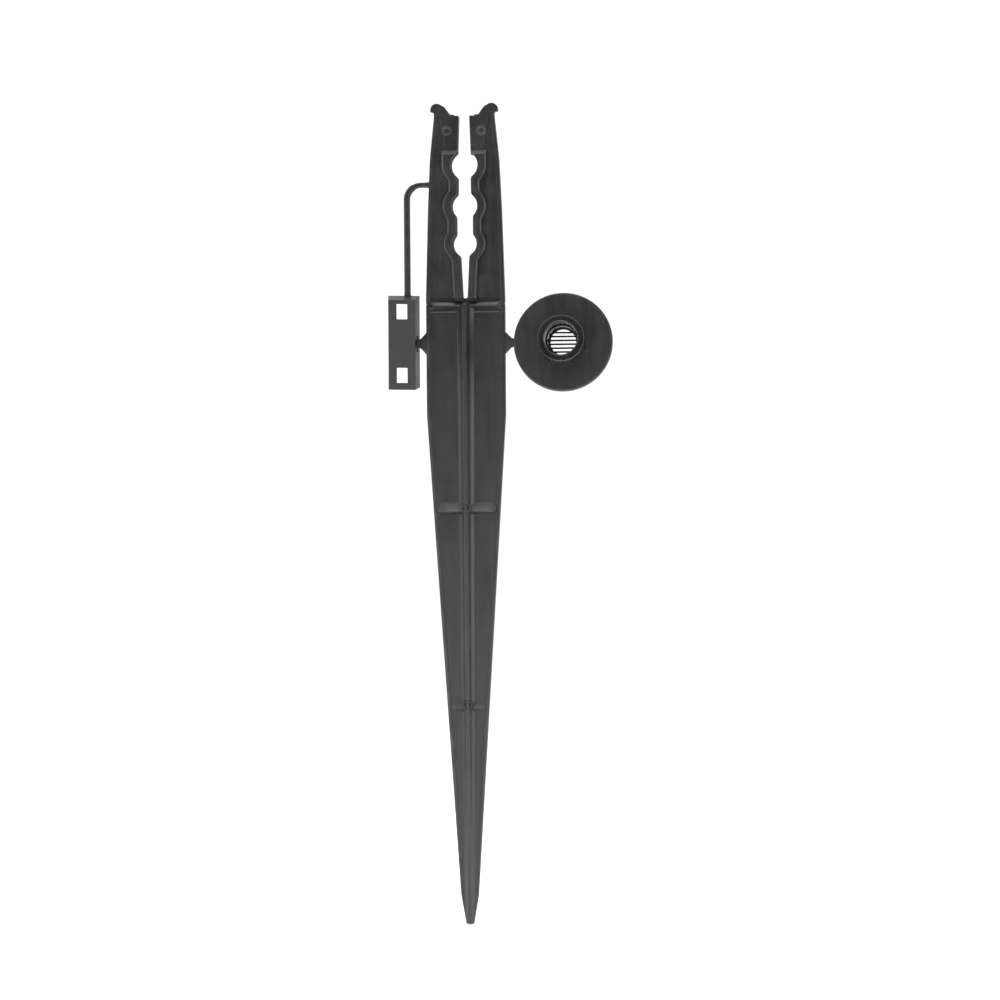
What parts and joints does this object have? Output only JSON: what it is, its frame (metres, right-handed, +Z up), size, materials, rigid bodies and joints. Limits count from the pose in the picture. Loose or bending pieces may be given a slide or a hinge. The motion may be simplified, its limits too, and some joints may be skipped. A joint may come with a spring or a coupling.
{
  "type": "irrigation tubing stake",
  "caption": "Ribbed ground stake with a sprung notched clip for thin tubing, a tethered two-window locking bar and a snap-off bug cap with a slotted grille.",
  "frame": {"origin": "centre of the flat end of the spike's point", "axes": "+Z up along the stake to the clip, -Y to the front face, +X to the bug cap"},
  "size_m": [0.0562, 0.0126, 0.2032],
  "materials": {
    "stake": "satin moulded polypropylene",
    "clip": "satin moulded polypropylene",
    "tether": "satin moulded polypropylene",
    "cap": "satin moulded polypropylene"
  },
  "bodies": {
    "stake": {"blade": "stake", "spike_point": "stake", "front_spine": "stake", "back_spine": "stake", "upper_rib_front": "stake", "upper_rib_back": "stake", "middle_rib_front": "stake", "middle_rib_back": "stake", "lower_rib_front": "stake", "lower_rib_back": "stake", "bar_tab": "stake", "cap_tab": "stake"},
    "left_jaw": {"left_jaw": "clip", "left_grip": "clip", "left_hook": "clip"},
    "right_jaw": {"right_jaw": "clip", "right_grip": "clip", "right_hook": "clip"},
    "strap_upper": {"strap_upper": "tether"},
    "strap_middle": {"strap_middle": "tether"},
    "strap_lower": {"strap_lower": "tether"},
    "locking_bar": {"locking_bar": "tether"},
    "bug_cap": {"cap_flange": "cap", "cap_socket": "cap", "cap_grille": "cap"}
  },
  "joints": [
    {"name": "left_jaw_flex", "type": "hinge", "parent": "stake", "child": "left_jaw", "pos_m": [-0.0051, 0, 0.1552], "axis": [0, -1, 0], "range_deg": [-1.5, 2.6], "stiffness_Nm_per_rad": 0.05},
    {"name": "right_jaw_flex", "type": "hinge", "parent": "stake", "child": "right_jaw", "pos_m": [0.0051, 0, 0.1552], "axis": [0, 1, 0], "range_deg": [-1.5, 2.6], "stiffness_Nm_per_rad": 0.05},
    {"name": "strap_root_bend", "type": "hinge", "parent": "left_jaw", "child": "strap_upper", "pos_m": [-0.00975, 0, 0.1831], "axis": [0, 1, 0], "range_deg": [0, 100], "stiffness_Nm_per_rad": 0.01},
    {"name": "strap_fold", "type": "hinge", "parent": "strap_upper", "child": "strap_middle", "pos_m": [-0.0145, 0, 0.1735], "axis": [0, 1, 0], "range_deg": [0, 104], "stiffness_Nm_per_rad": 0.01},
    {"name": "strap_twist", "type": "hinge", "parent": "strap_middle", "child": "strap_lower", "pos_m": [-0.0145, 0, 0.165], "axis": [0, 0, 1], "range_deg": [0, 90], "stiffness_Nm_per_rad": 0.0004},
    {"name": "bar_tilt", "type": "hinge", "parent": "strap_lower", "child": "locking_bar", "pos_m": [-0.0145, 0, 0.158], "axis": [1, 0, 0], "range_deg": [-68, 59], "stiffness_Nm_per_rad": 0.004},
    {"name": "cap_twist", "type": "hinge", "parent": "stake", "child": "bug_cap", "pos_m": [0.0118, 0, 0.1438], "axis": [1, 0, 0], "range_deg": [-90, 90], "stiffness_Nm_per_rad": 0.001}
  ]
}
